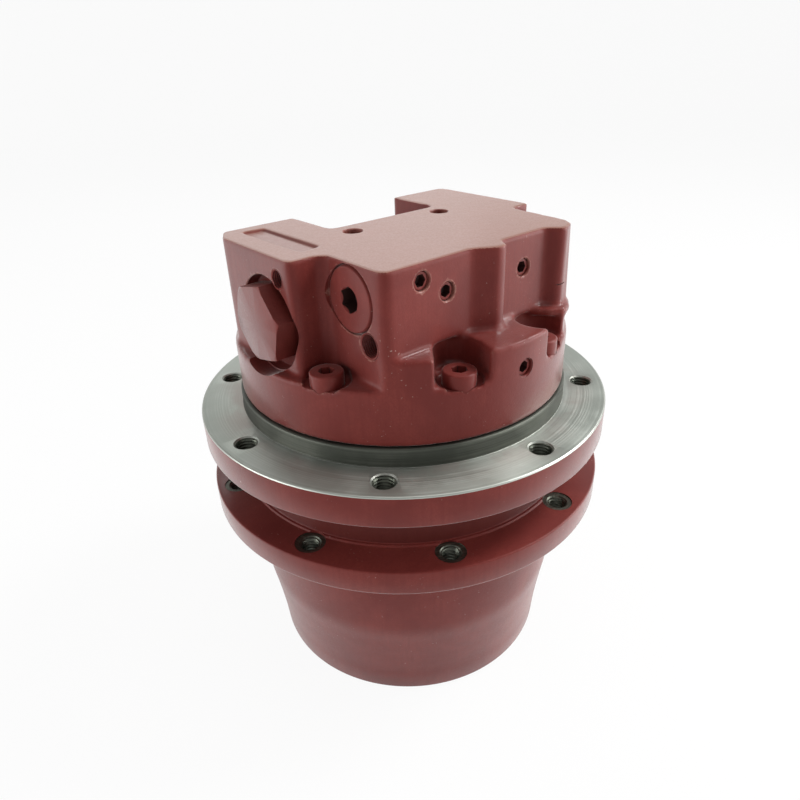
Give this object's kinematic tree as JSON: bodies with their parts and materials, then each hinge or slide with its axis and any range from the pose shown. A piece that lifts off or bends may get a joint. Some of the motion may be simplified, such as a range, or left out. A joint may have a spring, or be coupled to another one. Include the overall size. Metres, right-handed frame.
{
  "type": "excavator final drive",
  "caption": "Travel drive for a small excavator: fixed spindle with valve block, turning hub with sprocket flange, axial piston motor, two planetary stages and floating seal.",
  "frame": {"origin": "centre of the hub's lower rim", "axes": "+Z along the hub's axis from the sprocket side to the valve block, +X to the right wall of the block, +Y to the port side"},
  "size_m": [0.2, 0.2, 0.224],
  "materials": {
    "red_oxide_paint": "matte red oxide primer over castings",
    "machined_steel": "turned and ground",
    "dark_steel": "blackened",
    "gear_steel": "hardened and ground",
    "bronze": "lapped bronze",
    "seal_rubber": "black rubber"
  },
  "bodies": {
    "spindle": {"spindle_housing": "machined_steel", "valve_block": "red_oxide_paint", "block_seal": "seal_rubber", "block_screw_1": "dark_steel", "block_screw_2": "dark_steel", "block_screw_3": "dark_steel", "block_screw_4": "dark_steel", "block_screw_5": "dark_steel", "block_screw_6": "dark_steel", "block_screw_7": "dark_steel", "gauge_plug_1": "dark_steel", "gauge_plug_2": "dark_steel", "gauge_plug_3": "dark_steel", "gauge_plug_4": "dark_steel", "counterbalance_cap_left": "red_oxide_paint", "counterbalance_cap_right": "red_oxide_paint", "counterbalance_spring_left": "machined_steel", "counterbalance_spring_right": "machined_steel", "two_speed_plug": "red_oxide_paint", "two_speed_spring": "machined_steel", "valve_plate": "bronze", "shaft_bearing": "machined_steel", "shaft_seal": "seal_rubber", "upper_bearing_inner_ring": "machined_steel", "lower_bearing_inner_ring": "machined_steel", "bearing_nut": "dark_steel", "fixed_seal_ring": "machined_steel", "fixed_seal_cushion": "seal_rubber", "pin_plate": "gear_steel"},
    "hub": {"hub_housing": "red_oxide_paint", "ring_gear": "gear_steel", "end_cover": "red_oxide_paint", "cover_plug_1": "dark_steel", "cover_plug_2": "dark_steel", "cover_seal": "seal_rubber", "cover_circlip": "dark_steel", "upper_bearing_outer_ring": "machined_steel", "lower_bearing_outer_ring": "machined_steel", "turning_seal_ring": "machined_steel", "turning_seal_cushion": "seal_rubber"},
    "bearing_balls": {"upper_bearing_balls": "machined_steel", "lower_bearing_balls": "machined_steel"},
    "input": {"drive_shaft": "machined_steel", "sun_gear_one": "gear_steel", "cylinder_barrel": "machined_steel", "pistons_in_retainer": "machined_steel"},
    "carrier": {"carrier_one": "gear_steel", "sun_gear_two": "gear_steel"},
    "swash_plate": {"swash_plate": "machined_steel"},
    "two_speed_piston": {"two_speed_piston": "machined_steel"},
    "counterbalance_spool": {"counterbalance_spool": "machined_steel"},
    "two_speed_spool": {"two_speed_spool": "machined_steel"},
    "planet_gear_one_a": {"planet_gear_one_a": "gear_steel"},
    "planet_gear_two_a": {"planet_gear_two_a": "gear_steel"},
    "planet_gear_one_b": {"planet_gear_one_b": "gear_steel"},
    "planet_gear_two_b": {"planet_gear_two_b": "gear_steel"},
    "planet_gear_one_c": {"planet_gear_one_c": "gear_steel"},
    "planet_gear_two_c": {"planet_gear_two_c": "gear_steel"}
  },
  "joints": [
    {"name": "hub_spin", "type": "hinge", "parent": "spindle", "child": "hub", "pos_m": [0, 0, 0], "axis": [0, 0, 1], "continuous": true},
    {"name": "balls_spin", "type": "hinge", "parent": "spindle", "child": "bearing_balls", "pos_m": [0, 0, 0], "axis": [0, 0, 1], "continuous": true},
    {"name": "input_spin", "type": "hinge", "parent": "spindle", "child": "input", "pos_m": [0, 0, 0], "axis": [0, 0, 1], "continuous": true},
    {"name": "carrier_spin", "type": "hinge", "parent": "spindle", "child": "carrier", "pos_m": [0, 0, 0], "axis": [0, 0, 1], "continuous": true},
    {"name": "planet_one_a_spin", "type": "hinge", "parent": "carrier", "child": "planet_gear_one_a", "pos_m": [0, 0.036, 0], "axis": [0, 0, 1], "continuous": true},
    {"name": "planet_two_a_spin", "type": "hinge", "parent": "spindle", "child": "planet_gear_two_a", "pos_m": [0, 0.039, 0], "axis": [0, 0, 1], "continuous": true},
    {"name": "planet_one_b_spin", "type": "hinge", "parent": "carrier", "child": "planet_gear_one_b", "pos_m": [-0.03118, -0.018, 0], "axis": [0, 0, 1], "continuous": true},
    {"name": "planet_two_b_spin", "type": "hinge", "parent": "spindle", "child": "planet_gear_two_b", "pos_m": [-0.03377, -0.0195, 0], "axis": [0, 0, 1], "continuous": true},
    {"name": "planet_one_c_spin", "type": "hinge", "parent": "carrier", "child": "planet_gear_one_c", "pos_m": [0.03118, -0.018, 0], "axis": [0, 0, 1], "continuous": true},
    {"name": "planet_two_c_spin", "type": "hinge", "parent": "spindle", "child": "planet_gear_two_c", "pos_m": [0.03377, -0.0195, 0], "axis": [0, 0, 1], "continuous": true},
    {"name": "swash_tilt", "type": "hinge", "parent": "spindle", "child": "swash_plate", "pos_m": [0, 0, 0.0843], "axis": [1, 0, 0], "range_deg": [-5.5, 0]},
    {"name": "two_speed_piston_slide", "type": "slide", "parent": "spindle", "child": "two_speed_piston", "axis": [0, 0, 1], "range_m": [0, 0.0026]},
    {"name": "counterbalance_spool_slide", "type": "slide", "parent": "spindle", "child": "counterbalance_spool", "axis": [1, 0, 0], "range_m": [-0.004, 0.004], "stiffness_N_per_m": 4000, "deforming": ["counterbalance_spring_left", "counterbalance_spring_right"]},
    {"name": "two_speed_spool_slide", "type": "slide", "parent": "spindle", "child": "two_speed_spool", "axis": [1, 0, 0], "range_m": [0, 0.004], "stiffness_N_per_m": 1500, "deforming": ["two_speed_spring"]}
  ],
  "couplings": [
    {"joint": "balls_spin", "follows": "hub_spin", "ratio": 0.5355},
    {"joint": "input_spin", "follows": "hub_spin", "ratio": -25},
    {"joint": "carrier_spin", "follows": "hub_spin", "ratio": -3.3333},
    {"joint": "planet_one_a_spin", "follows": "hub_spin", "ratio": 10.833},
    {"joint": "planet_two_a_spin", "follows": "hub_spin", "ratio": 2.8571},
    {"joint": "planet_one_b_spin", "follows": "hub_spin", "ratio": 10.833},
    {"joint": "planet_two_b_spin", "follows": "hub_spin", "ratio": 2.8571},
    {"joint": "planet_one_c_spin", "follows": "hub_spin", "ratio": 10.833},
    {"joint": "planet_two_c_spin", "follows": "hub_spin", "ratio": 2.8571},
    {"joint": "two_speed_piston_slide", "follows": "swash_tilt", "m_per_rad": -0.024}
  ]
}
